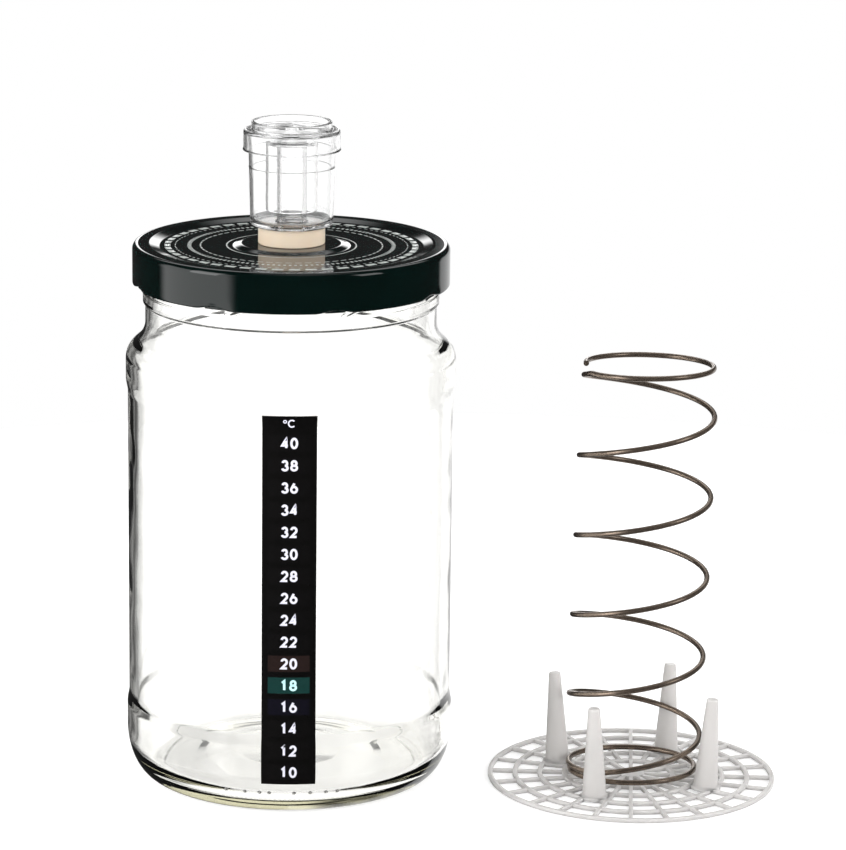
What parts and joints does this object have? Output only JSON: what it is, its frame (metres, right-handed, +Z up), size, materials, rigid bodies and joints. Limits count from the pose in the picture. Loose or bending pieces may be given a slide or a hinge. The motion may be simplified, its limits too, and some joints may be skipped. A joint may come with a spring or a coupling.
{
  "type": "fermentation jar with airlock",
  "caption": "Clear glass fermentation jar with a green twist-off lid, three-piece airlock, strip thermometer, and a spring press on a slotted plate beside it.",
  "frame": {"origin": "on the ground, under the middle of the bounding box of the whole set; the jar's axis is at x -59.5 mm, y 0.55 mm", "axes": "+Z up along the jar's axis; -Y is the front, where the strip thermometer is; +X towards the press that stands beside the jar"},
  "size_m": [0.238, 0.12, 0.2407],
  "materials": {
    "glass": "gloss",
    "adhesive": "clear",
    "black_film": "semi-gloss",
    "crystal_cells": "semi-gloss",
    "seal_compound": "matt",
    "lacquered_steel": "gloss",
    "cream_silicone": "matt",
    "clear_plastic": "clear",
    "milky_plastic": "translucent",
    "spring_wire": "drawn"
  },
  "bodies": {
    "jar": {"jar_glass": "glass", "thermometer_adhesive": "adhesive", "thermometer_strip": "black_film", "thermometer_cells": "crystal_cells"},
    "lid_seal": {"lid_gasket": "seal_compound"},
    "lid": {"lid_shell": "lacquered_steel", "lid_grommet": "cream_silicone"},
    "airlock": {"airlock_cup": "clear_plastic"},
    "bell": {"airlock_bell": "clear_plastic"},
    "cap": {"airlock_cap": "clear_plastic"},
    "press": {"press_plate": "milky_plastic"},
    "spring": {"press_spring": "spring_wire"}
  },
  "joints": [
    {"name": "lid_lift", "type": "slide", "parent": "jar", "child": "lid_seal", "axis": [0, 0, 1], "range_m": [0, 0.06]},
    {"name": "lid_turn", "type": "hinge", "parent": "lid_seal", "child": "lid", "pos_m": [-0.0595, 0.00055, 0.18], "axis": [0, 0, 1], "range_deg": [-21, 0]},
    {"name": "airlock_pull", "type": "slide", "parent": "lid", "child": "airlock", "axis": [0, 0, 1], "range_m": [0, 0.04]},
    {"name": "bell_float", "type": "slide", "parent": "airlock", "child": "bell", "axis": [0, 0, 1], "range_m": [0, 0.0025]},
    {"name": "cap_lift", "type": "slide", "parent": "airlock", "child": "cap", "axis": [0, 0, 1], "range_m": [0, 0.03]},
    {"name": "press_lift", "type": "slide", "parent": "jar", "child": "press", "axis": [0, 0, 1], "range_m": [0, 0.06]},
    {"name": "spring_lift", "type": "slide", "parent": "press", "child": "spring", "axis": [0, 0, 1], "range_m": [0, 0.05]}
  ]
}
